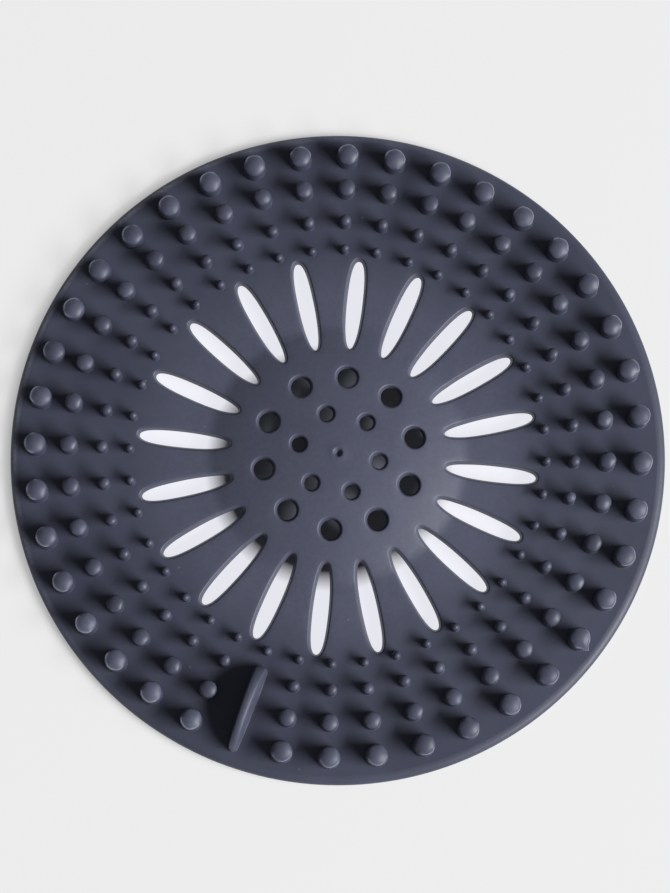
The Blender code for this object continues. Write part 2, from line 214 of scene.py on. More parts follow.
# Gate pit at the crown: its ring by shares of radius, the pit by shares of radius and depth
GATE_STEPS = 24
GATE_RING_RADIUS = 0.0020
GATE_RING_RISE = 0.00010
GATE_RING_SHARES = (0.85, 0.7, 0.55)
GATE_PIT_RADIUS = 0.0010
GATE_PIT_DEPTH = 0.0009
GATE_PIT_SHARES = ((1.0, 0.03), (0.8, 0.2), (0.5, 0.7), (0.3, 1.0))

# Points between the features
TOP_SPACING = 0.00105
UNDER_SPACING = 0.0021
CLEARANCE_SHARE = 0.55
TRIANGLES_INSIDE = 1
MERGE_DISTANCE = 1e-9

# Lift tab
TAB_LENGTH = 0.0178
TAB_WIDTH = 0.0018
TAB_HEIGHT = 0.0064
TAB_DRAFT = 0.055
TAB_SINK = 0.0003
TAB_FILLET = 0.00012
TAB_FILLET_STEPS = 4
TAB_SIDE_SHARES = (0.35, 0.6, 0.85)
TAB_ROUND = 0.0005
TAB_ROUND_POINTS = 6
TAB_RIDGE_SHARE = 0.3
TAB_RIDGE_RISE = 0.1
TAB_ARCH_POWER = 2.2
TAB_ARCH_REACH_SHARE = 1.02
TAB_TAPER = 0.18
TAB_LEAN = 0.00034
TAB_SHIFT = 0.00020
TAB_STATIONS = 45
TAB_END_ANGLE = math.radians(75)
TAB_LEAST_NOSE = 0.01

# Suction cups: the root by shares of its fillet (out, down), the skirt and the hollow by shares
# of radius and height, the lip by shares of radius with heights
CUP_STEPS = 56
CUP_RADIUS = 0.0070
CUP_BOSS_RADIUS = 0.0022
CUP_FILLET = 0.0006
CUP_SINK = 0.00015
CUP_ROOT = ((1 / 3, 1 / 6), (1 / 2, 1 / 2))
CUP_WAIST_LEVEL = 0.48
CUP_SKIRT = (0.9, 0.27)
CUP_LIP = ((0.985, 0.00024), (1.0, 0.00012), (0.99, 0.00002), (0.96, 0.0))
CUP_HOLLOW = ((0.8, 0.16), (0.45, 0.42), (0.15, 0.54))
CUP_HOLLOW_TOP = 0.55

# Rubber: colours, then the scales and ranges of its noises
RUBBER_DARK = (0.047, 0.051, 0.081, 1)
RUBBER_LIGHT = (0.057, 0.062, 0.096, 1)
# The worn colour and the flash colour also serve as painted light: on the hub and web, the peg tops, the
# crests of flash and the rim's strip.
WORN_AND_PAINTED_LIGHT_COLOUR = (0.105, 0.112, 0.165, 1)
FLASH_AND_PAINTED_LIGHT_COLOUR = (0.19, 0.20, 0.24, 1)
DUST_COLOUR = (0.24, 0.24, 0.27, 1)
RUBBER_IOR = 1.42
TONE_NOISE = (55.0, 4.0)
MOTTLE_NOISE = (1400.0, 3.0)
NOISE_RANGE = (0.35, 0.65)
MOTTLE_RANGE = (0.84, 1.16)
GLOSS_NOISE = (130.0, 2.0)
GLOSS_NOISE_RANGE = (0.3, 0.7)
ROUGHNESS_RANGE = (0.39, 0.48)
WEAR_ROUGHNESS = 0.12
DUST_SCALE = 420.0
DUST_DOT = (0.05, 0.09)
DUST_CHANCE = (0.90, 0.92)
DUST_COVER = 0.5
BUMP_STRENGTH = 0.35
GRAIN = (2600.0, 3.0, 0.00002)
SKIN = (420.0, 2.0, 0.00010)

# Camera, at the height and tilt that the photograph was taken from
CAMERA_PLACE = (-0.00581, -0.08759, 0.69032)
CAMERA_TURN = (0.1292, -0.0083, 0.0050)
CAMERA_LENS = 141.1
CAMERA_SENSOR = 36.0

# Light
KEY_AZIMUTH = math.radians(-23)
KEY_ELEVATION = math.radians(35)
KEY_DISTANCE = 3.0
KEY_WIDTH = 2.5
KEY_HEIGHT = 0.9
KEY_LEVEL = 0.91
WORLD_LEVEL = 0.12

# Floor: its colours, how much of its glow is seen in each zone, and the shade under the hub
FLOOR_SIZE = 6.0
FLOOR_ROUGHNESS = 0.9
FLOOR_COLOUR = (0.825, 0.825, 0.83, 1)
FLOOR_GLOW = (0.85, 0.85, 0.855, 1)
SLOT_GLOW = (0.92, 0.92, 1.0, 1)
SHADE_COLOUR = (0.26, 0.27, 0.33, 1)
SLOT_LIFT = 0.85
EDGE_LIFT = 0.44
FLOOR_LIFT = 0.76
HUB_LIFT = 0.0095
SLOT_ZONE_SHARES = (0.8, 0.9)
EDGE_ZONE_SHARES = (1.003, 1.032)
SHADE_MIDDLE = (-0.0016, -0.0020, 0.0)
SHADE_RADIUS = 0.0207
SHADE_FADE_RADIUS = 0.0248


def level_height(radius):
    """Height of the upper surface at each radius, before any waviness."""
    band = RIM_HEIGHT + BAND_SLOPE * (BAND_RADIUS - radius)
    dome = CROWN_HEIGHT - DOME_HEIGHT * (radius / DOME_RADIUS) ** 2
    return np.where(radius < DOME_RADIUS, dome, band)


def wave(plan):
    """The slight unevenness of a soft sheet, which fades out towards the rim."""
    radius = np.hypot(plan[:, 0], plan[:, 1])
    fade = np.clip((WAVE_FADE_RADIUS - radius) / (WAVE_FADE_RADIUS - SLOT_OUTER_RADIUS), 0, 1)
    swell = [noise.noise(Vector((x, y, 0)) / WAVE_LENGTH) for x, y in plan]
    return WAVE_HEIGHT * fade * np.array(swell)


def top_of(plan):
    """Height of the upper surface over points of the plan."""
    return level_height(np.hypot(plan[:, 0], plan[:, 1])) + wave(plan)


def under_of(plan):
    """Height of the underside over points of the plan."""
    return top_of(plan) - SHEET


def painted_hub_light(plan):
    """Painted light: how far the hub and the web are painted paler than the band, whose darker tone stands
    for the shade that the pegs cast on it.
    """
    share = (HUB_PAINTED_LIGHT_RADIUS - np.hypot(plan[:, 0], plan[:, 1])) / HUB_PAINTED_LIGHT_FADE
    return HUB_PAINTED_LIGHT * np.clip(share, 0, 1)


def polar(radius, angle):
    """The point of the plan at a radius and an angle."""
    return radius * np.array([math.cos(angle), math.sin(angle)])


def turned(plan, angle):
    """Points of the plan turned about the strainer's axis."""
    turn = np.array([[math.cos(angle), math.sin(angle)], [-math.sin(angle), math.cos(angle)]])
    return plan @ turn


def circle(radius, steps, middle=(0.0, 0.0)):
    """A round loop of the plan."""
    angles = np.arange(steps) / steps * math.tau
    return np.array(middle) + radius * np.column_stack([np.cos(angles), np.sin(angles)])


def rounding(width, depth, steps):
    """A quarter-round edge: how far out each point lies, and how far down."""
    turns = np.arange(steps + 1) / steps * math.pi / 2
    return list(zip(width * (1 - np.sin(turns)), depth * (1 - np.cos(turns))))


def bezier(start, leave, arrive, end, steps):
    """Points and outward normals along one stretch of an anticlockwise outline."""
    corners = [np.array(corner) for corner in (start, leave, arrive, end)]
    share = (np.arange(steps) / steps)[:, None]
    back = 1 - share
    points = (
        back**3 * corners[0]
        + 3 * back**2 * share * corners[1]
        + 3 * back * share**2 * corners[2]
        + share**3 * corners[3]
    )
    along = (
        back**2 * (corners[1] - corners[0])
        + 2 * back * share * (corners[2] - corners[1])
        + share**2 * (corners[3] - corners[2])
    )
    along /= np.linalg.norm(along, axis=1)[:, None]
    return points, np.column_stack([along[:, 1], -along[:, 0]])


class Shell:
    """Points and faces of one closed surface, gathered loop by loop."""

    def __init__(self):
        self.blocks = []
        self.count = 0
        self.faces = []
        self.wear_and_painted_light = []

    def add(self, plan, height, wear_and_painted_light=0.0):
        """Add points over the plan, with their wear and painted light, and give their numbers."""
        first = self.count
        self.blocks.append(np.column_stack([plan, np.broadcast_to(height, len(plan))]))
        self.wear_and_painted_light += np.broadcast_to(wear_and_painted_light, len(plan)).tolist()
        self.count += len(plan)
        return np.arange(first, self.count)

    def chain(self, loops):
        """Join each loop to the next with four-sided faces."""
        for one, two in zip(loops, loops[1:]):
            corners = np.column_stack([one, np.roll(one, -1), np.roll(two, -1), two])
            self.faces += corners.tolist()

    def close(self, loop, plan, height, wear_and_painted_light=0.0):
        """Close a loop with a fan round a middle point."""
        middle = int(self.add(np.array([plan]), height, wear_and_painted_light)[0])
        self.faces += [[a, b, middle] for a, b in zip(loop.tolist(), np.roll(loop, -1).tolist())]

    def stretch(self, edge, holes, inside, upwards):
        """Triangles between an outer loop, the loops of its holes and the points between them."""
        loops = [edge, *holes]
        numbers = np.concatenate([*loops, inside])
        owner = np.concatenate([np.full(len(one), which) for which, one in enumerate(loops)])
        owner = np.concatenate([owner, np.full(len(inside), -1)])
        plan = np.vstack(self.blocks)[numbers][:, :2]
        sides = []
        first = 0
        for one in loops:
            here = np.arange(first, first + len(one))
            sides += list(zip(here.tolist(), np.roll(here, -1).tolist()))
            first += len(one)
        points = [Vector(point) for point in plan.tolist()]
        found = delaunay_2d_cdt(points, sides, [], TRIANGLES_INSIDE, MERGE_DISTANCE)
        corners = np.array([face for face in found[2] if len(face) == 3])
        kinds = owner[corners]
        in_hole = (kinds[:, 0] > 0) & (kinds[:, 0] == kinds[:, 1]) & (kinds[:, 1] == kinds[:, 2])
        corners = corners[~in_hole]
        a, b, c = (plan[corners[:, side]] for side in range(3))
        area = (b - a)[:, 0] * (c - a)[:, 1] - (b - a)[:, 1] * (c - a)[:, 0]
        corners[(area > 0) != upwards] = corners[(area > 0) != upwards][:, ::-1]
        self.faces += numbers[corners].tolist()

    def piece(self, name, material):
        """The finished object."""
        mesh = bpy.data.meshes.new(name)
        mesh.from_pydata(np.vstack(self.blocks).tolist(), [], self.faces)
        mesh.shade_smooth()
        mesh.attributes.new("wear_and_painted_light", "FLOAT", "POINT").data.foreach_set("value", self.wear_and_painted_light)
        mesh.materials.append(material)
        item = bpy.data.objects.new(name, mesh)
        bpy.context.scene.collection.objects.link(item)
        return item


def strip_profile():
    """(radius, height) along the rim's strip, which bends over from a slope to upright."""
    share = np.linspace(0, 1, STRIP_STEPS + 1)
    tilt = STRIP_START_ANGLE + (math.pi / 2 - STRIP_START_ANGLE) * share**STRIP_POWER
    tilt = (tilt[1:] + tilt[:-1]) / 2
    length = STRIP_WIDTH / np.cos(tilt).sum()
    out = BAND_RADIUS + np.cumsum(np.cos(tilt)) * length
    down = np.cumsum(np.sin(tilt)) * length
    return list(zip(out.tolist(), (RIM_HEIGHT - down).tolist()))


def rim_profile():
    """(radius, height) from the underside, round the foot and over the sloping strip, to the band."""
    under = float(level_height(RIM_INNER_RADIUS)) - SHEET
    low = min(RIM_UNDER_FILLET, under * RIM_UNDER_FILLET_SHARE)
    points = []
    for out, down in rounding(low, low, RIM_UNDER_FILLET_STEPS):
        points.append((RIM_INNER_RADIUS - out, under - down))
    foot = RIM_ROUND
    points += [(RIM_INNER_RADIUS, foot), (RIM_INNER_RADIUS + foot / 3, foot / 3)]
    points += [(RIM_INNER_RADIUS + foot, 0.0), (RADIUS - foot, 0.0)]
    points += [(RADIUS - foot / 3, foot / 3), (RADIUS, foot)]
    points += reversed(strip_profile())
    points.append((BAND_RADIUS + CREASE, RIM_HEIGHT - CREASE * math.tan(STRIP_START_ANGLE)))
    points.append((BAND_RADIUS, RIM_HEIGHT))
    for inwards in (CREASE, RIM_ROUND):
        points.append((BAND_RADIUS - inwards, RIM_HEIGHT + inwards * BAND_SLOPE))
    return points


def add_rim(shell):
    """The rim, its strip painted pale at the upper left as painted reflected light and matt at the lower
    right; gives its loops.
    """
    turns = np.arange(RIM_STEPS) / RIM_STEPS * math.tau - STRIP_PAINTED_LIGHT_ANGLE
    loops = []
    for out, up in rim_profile():
        # Painted reflected light on the strip's upper left; only less gloss at its lower right.
        reach = min(max((out - BAND_RADIUS) / STRIP_PAINTED_LIGHT_WIDTH, 0), 1)
        paling = np.clip(np.cos(turns), STRIP_MATTE, 1) * reach * MOST_PALING
        loops.append(shell.add(circle(out, RIM_STEPS, RIM_SHIFT), up, paling))
    shell.chain(loops)
    return loops


def slot_outline():
    """One slot along +X: its outline, anticlockwise, and the outline's outward normals."""
    widest = SLOT_INNER_RADIUS + (SLOT_OUTER_RADIUS - SLOT_INNER_RADIUS) * SLOT_WIDEST_SHARE
    half = SLOT_WIDTH / 2
    inner = (SLOT_INNER_RADIUS, 0.0)
    outer = (SLOT_OUTER_RADIUS, 0.0)
    inner_flank = (widest - SLOT_INNER_RADIUS) * SLOT_FLANK_SHARE
    outer_flank = (SLOT_OUTER_RADIUS - widest) * SLOT_FLANK_SHARE
    quarters = [
        (inner, (inner[0], -SLOT_INNER_NOSE), (widest - inner_flank, -half), (widest, -half)),
        ((widest, -half), (widest + outer_flank, -half), (outer[0], -SLOT_OUTER_NOSE), outer),
        (outer, (outer[0], SLOT_OUTER_NOSE), (widest + outer_flank, half), (widest, half)),
        ((widest, half), (widest - inner_flank, half), (inner[0], SLOT_INNER_NOSE), inner),
    ]
    stretches = [bezier(*corners, SLOT_STEPS) for corners in quarters]
    return tuple(np.vstack([stretch[side] for stretch in stretches]) for side in (0, 1))


def slot_loop(points, normals, angle, out):
    """The outline of the slot at an angle, let out by a distance."""
    return turned(points + normals * out, angle) + SLOT_SHIFT


def hole_loop(radius, middle, out):
    """The outline of a hole, let out by a distance."""
    return circle(radius + out, HOLE_STEPS, middle)


def opening_outlines():
    """For each slot and hole its outline, and how far it is let out above and below for draft."""
    points, normals = slot_outline()
    outlines = []
    for index in range(SLOT_COUNT):
        angle = SLOT_START_ANGLE + index * math.tau / SLOT_COUNT
        outlines.append((partial(slot_loop, points, normals, angle), SLOT_DRAFT, 0.0))
    for ring in HOLE_RINGS:
        for index in range(ring["count"]):
            middle = polar(ring["ring"], ring["start"] + index * math.tau / ring["count"])
            outlines.append((partial(hole_loop, ring["radius"], middle + HOLE_SHIFT), 0.0, HOLE_DRAFT))
    return outlines


def add_opening(shell, outline, above_out, below_out):
    """A rounded opening with drafted walls; gives its loops on the two surfaces."""
    above = [(above_out + out, down) for out, down in rounding(LIP, LIP, LIP_STEPS)]
    under = reversed(rounding(UNDER_LIP, UNDER_LIP, UNDER_LIP_STEPS))
    below = [(below_out + out, SHEET - down) for out, down in under]
    loops = []
    for out, down in above + below:
        plan = outline(out)
        loops.append(shell.add(plan, top_of(plan) - down, painted_hub_light(plan)))
    shell.chain(loops)
    return loops[0], loops[-1]


def add_gate(shell):
    """The small pit that moulding leaves at the crown, in a soft raised ring; gives its outer loop."""
    profile = [(GATE_RING_RADIUS, 0.0)]
    for share in GATE_RING_SHARES:
        profile.append((GATE_RING_RADIUS * share, GATE_RING_RISE * math.sin(share * math.pi)))
    for share, down in GATE_PIT_SHARES:
        profile.append((GATE_PIT_RADIUS * share, GATE_RING_RISE - GATE_PIT_DEPTH * down))
    loops = []
    for out, up in profile:
        plan = circle(out, GATE_STEPS)
        loops.append(shell.add(plan, top_of(plan) + up, painted_hub_light(plan)))
    shell.chain(loops)
    shell.close(loops[-1], np.zeros(2), CROWN_HEIGHT + GATE_RING_RISE - GATE_PIT_DEPTH)
    return loops[0]


def peg_profile(row):
    """(distance from the axis, height) from the foot of the fillet to near the peg's middle."""
    dome = row["tip"] * row["dome_share"]
    edge = row["height"] - dome
    points = [(row["root"] + out, 0.0) for out in (PEG_GUARD, PEG_FILLET)]
    for up in (PEG_FILLET, PEG_GUARD):
        points.append((row["root"] + (row["tip"] - row["root"]) * up / edge, up))
    low = np.array([row["tip"], edge - row["shoulder"]])
    corner = np.array([row["tip"], edge])
    inset = row["tip"] - row["shoulder"]
    high = np.array([inset, row["height"] - dome * (inset / row["tip"]) ** 2])
    for share in SHOULDER_SHARES:
        points.append(tuple((1 - share) ** 2 * low + 2 * share * (1 - share) * corner + share**2 * high))
    for share in CAP_SHARES:
        out = inset * share
        points.append((out, row["height"] - dome * (out / row["tip"]) ** 2))
    return points


def cap_edge(row, angle, seed, nib):
    """Round a cap's edge: how far it stands out of round, and the share of the burr's height."""
    turns = np.arange(row["sides"]) / row["sides"] * math.tau - angle
    ripple = 0
    for waves, phase in zip(RIPPLE_WAVES, seed):
        ripple = ripple + np.sin(turns * waves + phase * RIPPLE_PHASE)
    around = (turns + angle - nib[0] + math.pi) % math.tau - math.pi
    out = CAP_UNEVENNESS * row["tip"] * ripple + nib[1] * np.exp(-((around / NIB_WIDTH) ** 2))
    burr = np.cos(turns) * BURR_REACH + BURR_LEVEL + BURR_RIPPLE * ripple + BURR_SPREAD * seed[2]
    return out, np.clip(burr, 0, 1)


def add_peg(shell, row, angle, seed, nib):
    """One peg, slightly leaning, with an uneven tilted cap; gives the loop at its foot."""
    middle = polar(row["radius"], angle) + row["shift"]
    middle[0] += row["skew"] * math.sin(2 * angle)
    ground = float(top_of(middle[None])[0])
    lean = PEG_LEAN * seed[:2] + np.array(PEG_DRIFT)
    wear_and_painted_light = float(np.clip(row["wear_and_painted_light"] + TIP_PALING_SPREAD * seed[2], 0, 1))
    cap, burr = cap_edge(row, angle, seed, nib)
    edge = row["height"] - row["tip"] * row["dome_share"]
    loops = []
    for out, up in peg_profile(row):
        paling = float(np.clip((up - edge + row["shoulder"]) / row["shoulder"], 0, 1))
        reach = out + cap * paling * (out / row["tip"]) ** CAP_POWER
        plan = circle(1.0, row["sides"]) * reach[:, None] + middle + lean * min(up / row["height"], 1.0)
        settle = min(up / PEG_FILLET, 1.0)
        height = (1 - settle) * top_of(plan) + settle * ground + up
        height = height + paling * CAP_TILT * (plan - middle) @ seed[:2]
        crest = math.exp(-(((out - row["tip"] * BURR_RADIUS_SHARE) / BURR_WIDTH) ** 2)) * (paling > 0)
        # The cap pales partly by wear, partly as painted light on the top; the crest of flash pales partly
        # as a painted highlight.
        pale = wear_and_painted_light * paling + BURR_PALING * crest * burr * (row["burr"] > 0)
        loops.append(shell.add(plan, height + row["burr"] * burr * crest, np.clip(pale, 0, MOST_PALING)))
    shell.chain(loops)
    shell.close(loops[-1], middle + lean, ground + row["height"], wear_and_painted_light)
    return loops[0]


def add_pegs(shell):
    """The rows of pegs, with room for the lift tab in all but the inner one; gives their feet."""
    random = np.random.default_rng(PEG_SEED)
    feet = []
    for row in PEG_ROWS:
        for place in range(PEG_COUNT):
            seed = random.normal(size=3)
            if place == TAB_PLACE and row is not PEG_ROWS[-1]:
                continue
            angle = PEG_START_ANGLE + place * math.tau / PEG_COUNT
            feet.append(add_peg(shell, row, angle, seed, row["nibs"].get(place, NO_NIB)))
    return feet


def touches(plan, outline, margin):
    """Which points lie inside a convex outline, or within a margin of it."""
    if len(plan) == 0:
        return np.zeros(0, bool)
    along = np.roll(outline, -1, axis=0) - outline
    away = plan[:, None] - outline[None]
    side = along[None, :, 0] * away[..., 1] - along[None, :, 1] * away[..., 0]
    return (side > 0).all(axis=1) | (np.linalg.norm(away, axis=2).min(axis=1) < margin)


def between(spacing, edge_radius, clear_of):
    """Points spread evenly over the plan, clear of the features."""
    rings = []
    for index in range(1, int(edge_radius / spacing)):
        steps = round(math.tau * index)
        rings.append(turned(circle(index * spacing, steps), (index % 2) * math.pi / steps))
    plan = np.vstack(rings)
    margin = spacing * CLEARANCE_SHARE
    keep = np.hypot(plan[:, 0], plan[:, 1]) < edge_radius - margin
    for outline in clear_of:
        middle = outline.mean(axis=0)
        reach = np.linalg.norm(outline - middle, axis=1).max() + margin
        near = np.flatnonzero(np.linalg.norm(plan - middle, axis=1) < reach)
        keep[near[touches(plan[near], outline, margin)]] = False
    return plan[keep]


def make_moulding(material):
    """The hub, the web, the band of pegs and the rim, as one closed surface."""
    shell = Shell()
    rim_loops = add_rim(shell)
    openings = [add_opening(shell, *opening) for opening in opening_outlines()]
    feet = add_pegs(shell)
    holes = [top for top, under in openings] + feet + [add_gate(shell)]
    points = np.vstack(shell.blocks)[:, :2]
    plan = between(TOP_SPACING, rim_profile()[-1][0], [points[hole] for hole in holes])
    shell.stretch(rim_loops[-1], holes, shell.add(plan, top_of(plan), painted_hub_light(plan)), True)
    holes = [under for top, under in openings]
    plan = between(UNDER_SPACING, rim_profile()[0][0], [points[hole] for hole in holes])
    shell.stretch(rim_loops[0], holes, shell.add(plan, under_of(plan)), False)
    moulding = shell.piece("rubber_moulding", material)
    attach(moulding, STRAINER_BODY)
    still = [name for name in frame["nodes"] if name != "lift_tab" and "cup" not in name]
    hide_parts(*still)
    return moulding


def tab_section(height, nose):
    """Half of the tab's cross-section, from under its root to the ridge: (across, up) points."""
    ridge = TAB_WIDTH / 2 * nose
    draft = TAB_DRAFT * nose
    edge = min(TAB_ROUND * nose, height / 2)
    root = ridge + draft * height
    points = [(root + TAB_FILLET * nose, -TAB_SINK)]
    for out, up in rounding(TAB_FILLET, TAB_FILLET, TAB_FILLET_STEPS):
        level = min(up, height / 3)
        points.append((root + out * nose - draft * level, level))
    for share in TAB_SIDE_SHARES:
        level = height / 3 + (height * 2 / 3 - edge) * share
        points.append((ridge + draft * (height - level), level))
    for turn in np.linspace(0, math.pi / 2, TAB_ROUND_POINTS):
        points.append((ridge - edge * (1 - math.cos(turn)), height - edge * (1 - math.sin(turn))))
    points.append((ridge * TAB_RIDGE_SHARE, height + edge * TAB_RIDGE_RISE))
    return points


def tab_loop(shell, along, angle, middle):
    """The loop of the tab's cross-section at a distance along it, tapered and leaning."""
    half_length = TAB_LENGTH / 2
    arch = max(1 - (abs(along) / (half_length * TAB_ARCH_REACH_SHARE)) ** TAB_ARCH_POWER, 0)
    height = TAB_HEIGHT * arch ** (1 / TAB_ARCH_POWER)
    past = max(abs(along) - (TAB_LENGTH - TAB_WIDTH) / 2, 0) / (TAB_WIDTH / 2)
    half = tab_section(height, math.sqrt(max(1 - past**2, TAB_LEAST_NOSE)))
    section = np.array(half + [(-across, up) for across, up in reversed(half)])
    across = section[:, 0] * (1 - TAB_TAPER * along / half_length)
    across = across + TAB_SHIFT - TAB_LEAN * (section[:, 1] / TAB_HEIGHT) ** 2
    plan = turned(np.column_stack([np.full(len(across), along), across]), angle) + middle
    return shell.add(plan, top_of(plan) + section[:, 1], TAB_PALING)


def make_tab(material):
    """The lift tab: a thin arched fin along the axis of its hinge, which lies just above its root."""
    pivot = Vector(TAB_JOINT["pos_m"])
    axis = Vector(TAB_JOINT["axis"])
    angle = math.atan2(axis.y, axis.x)
    middle = np.array(pivot[:2])
    shell = Shell()
    loops = []
    for turn in np.linspace(-1, 1, TAB_STATIONS) * TAB_END_ANGLE:
        along = math.sin(turn) / math.sin(TAB_END_ANGLE) * TAB_LENGTH / 2
        loops.append(tab_loop(shell, along, angle, middle))
    shell.chain(loops)
    for loop, around in ((loops[0], 1), (loops[-1], -1)):
        shell.faces.append(loop[::around].tolist())
    tab = shell.piece("rubber_lift_tab", material)
    foot = Vector((pivot.x, pivot.y, float(top_of(middle[None])[0])))
    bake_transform(tab)
    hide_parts("lift_tab")
    return tab


def cup_profile(height):
    """(distance from the cup's axis, height) from the waist, round the lip, to near the middle."""
    points = [((CUP_BOSS_RADIUS + CUP_RADIUS) / 2, height * CUP_WAIST_LEVEL)]
    points.append((CUP_RADIUS * CUP_SKIRT[0], height * CUP_SKIRT[1]))
    points += [(CUP_RADIUS * share, up) for share, up in CUP_LIP]
    points += [(CUP_RADIUS * share, height * level) for share, level in CUP_HOLLOW]
    return points


def make_cup(node, material):
    """One suction cup, a thin spreading lip under a boss."""
    low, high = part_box(node)
    middle = np.array([(low.x + high.x) / 2, (low.y + high.y) / 2])
    ground = float(under_of(middle[None])[0])
    shell = Shell()
    plan = circle(CUP_BOSS_RADIUS + CUP_FILLET, CUP_STEPS, middle)
    loops = [shell.add(plan, under_of(plan) + CUP_SINK)]
    for out, down in CUP_ROOT:
        plan = circle(CUP_BOSS_RADIUS + CUP_FILLET * out, CUP_STEPS, middle)
        loops.append(shell.add(plan, np.minimum(under_of(plan) - CUP_FILLET * down, ground)))
    for out, up in cup_profile(high.z):
        loops.append(shell.add(circle(out, CUP_STEPS, middle), up))
    shell.chain(loops)
    shell.close(loops[-1], middle, high.z * CUP_HOLLOW_TOP)
    shell.close(loops[0][::-1], middle, ground + CUP_SINK)
    cup = shell.piece("rubber_" + node, material)
    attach(cup, STRAINER_BODY)
    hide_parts(node)
    return cup


class Nodes:
    """A material's nodes, made and joined in short calls."""

    def __init__(self, material):
        material.use_nodes = True
        self.tree = material.node_tree

    def make(self, kind, **values):
        """A node with settings by attribute name, or by input name where it has none."""
        node = self.tree.nodes.new(kind)
        for name, value in values.items():
            if hasattr(node, name):
                setattr(node, name, value)
            else:
                node.inputs[name.replace("_", " ")].default_value = value
        return node

    def join(self, source, target):
        """Join an output to an input."""
        self.tree.links.new(source, target)

    def place(self):
        """Where a point lies in the piece's own space."""
        return self.make("ShaderNodeTexCoord").outputs["Object"]

    def noise(self, scale, detail):
        """Noise in the piece's own space."""
        node = self.make("ShaderNodeTexNoise", Scale=scale, Detail=detail)
        self.join(self.place(), node.inputs["Vector"])
        return node.outputs["Fac"]

    def distance(self, middle):
        """Distance from a point of the piece's own space."""
        node = self.make("ShaderNodeVectorMath", operation="DISTANCE")
        self.join(self.place(), node.inputs[0])
        node.inputs[1].default_value = middle
        return node.outputs["Value"]

    def calculate(self, operation, *sources):
        """The result of an operation on outputs and plain numbers."""
        node = self.make("ShaderNodeMath", operation=operation)
        for index, source in enumerate(sources):
            if isinstance(source, float):
                node.inputs[index].default_value = source
            else:
                self.join(source, node.inputs[index])
        return node.outputs["Value"]

    def bump(self, scale, detail, depth):
        """A bump over noise."""
        node = self.make("ShaderNodeBump", Strength=BUMP_STRENGTH, Distance=depth)
        self.join(self.noise(scale, detail), node.inputs["Height"])
        return node

    def spread(self, source, low, high, to_low, to_high):
        """A value's range drawn onto another range."""
        node = self.make("ShaderNodeMapRange")
        for name, value in zip(("From Min", "From Max", "To Min", "To Max"), (low, high, to_low, to_high)):
            node.inputs[name].default_value = value
        self.join(source, node.inputs["Value"])
        return node.outputs["Result"]

    def looked_at(self):
        """One for rays of the camera and for what shows in or through glossy pieces, else zero."""
        path = self.make("ShaderNodeLightPath")
        share = path.outputs["Is Camera Ray"]
        for kind in ("Is Glossy Ray", "Is Transmission Ray"):
            share = self.calculate("MAXIMUM", share, path.outputs[kind])
        return share

    def mix(self, share, first, second):
        """A colour between two, each a colour or an output."""
        node = self.make("ShaderNodeMix", data_type="RGBA")
        self.join(share, node.inputs["Factor"])
        for name, colour in (("A", first), ("B", second)):
            socket = next(s for s in node.inputs if s.name == name and s.type == "RGBA")
            if isinstance(colour, tuple):
                socket.default_value = colour
            else:
                self.join(colour, socket)
        return next(s for s in node.outputs if s.type == "RGBA")


def dust_share(nodes):
    """How much dust covers each point: a speck in the middle of a few cells."""
    cells = nodes.make("ShaderNodeTexVoronoi", Scale=DUST_SCALE)
    nodes.join(nodes.place(), cells.inputs["Vector"])
    near = nodes.spread(cells.outputs["Distance"], *DUST_DOT, 1.0, 0.0)
    pick = nodes.make("ShaderNodeSeparateColor")
    nodes.join(cells.outputs["Color"], pick.inputs["Color"])
    chosen = nodes.spread(pick.outputs["Red"], *DUST_CHANCE, 0.0, DUST_COVER)
    return nodes.calculate("MULTIPLY", near, chosen)


def rubber_colour(nodes, wear_and_painted_light):
    """Slate grey in two tones, made paler by wear and painted light, turned to the colour of flash for
    bare flash and for painted light, with dust.
    """
    tone = nodes.spread(nodes.noise(*TONE_NOISE), *NOISE_RANGE, 0.0, 1.0)
    colour = nodes.mix(wear_and_painted_light, nodes.mix(tone, RUBBER_DARK, RUBBER_LIGHT), WORN_AND_PAINTED_LIGHT_COLOUR)
    colour = nodes.mix(nodes.spread(wear_and_painted_light, 1.0, MOST_PALING, 0.0, 1.0), colour, FLASH_AND_PAINTED_LIGHT_COLOUR)
    return nodes.mix(dust_share(nodes), colour, DUST_COLOUR)


def rubber_bump(nodes):
    """The fine moulded grain, and the softer unevenness of the skin."""
    grain = nodes.bump(*GRAIN)
    skin = nodes.bump(*SKIN)
    nodes.join(grain.outputs["Normal"], skin.inputs["Normal"])
    return skin.outputs["Normal"]


def rubber_material():
    """Satin slate-grey rubber, a little rougher where it is worn, painted paler or made matt."""
    material = bpy.data.materials.new("slate_rubber")
    nodes = Nodes(material)
    shader = nodes.tree.nodes["Principled BSDF"]
    shader.inputs["IOR"].default_value = RUBBER_IOR
    paling = nodes.make("ShaderNodeAttribute", attribute_name="wear_and_painted_light").outputs["Fac"]
    mottle = nodes.spread(nodes.noise(*MOTTLE_NOISE), *NOISE_RANGE, *MOTTLE_RANGE)
    wear_and_painted_light = nodes.calculate("MULTIPLY", paling, mottle)
    gloss = nodes.spread(nodes.noise(*GLOSS_NOISE), *GLOSS_NOISE_RANGE, *ROUGHNESS_RANGE)
    rough = nodes.calculate("MULTIPLY_ADD", nodes.calculate("ABSOLUTE", wear_and_painted_light), WEAR_ROUGHNESS, gloss)
    nodes.join(rubber_colour(nodes, wear_and_painted_light), shader.inputs["Base Color"])
    nodes.join(rough, shader.inputs["Roughness"])
    nodes.join(rubber_bump(nodes), shader.inputs["Normal"])
    return material


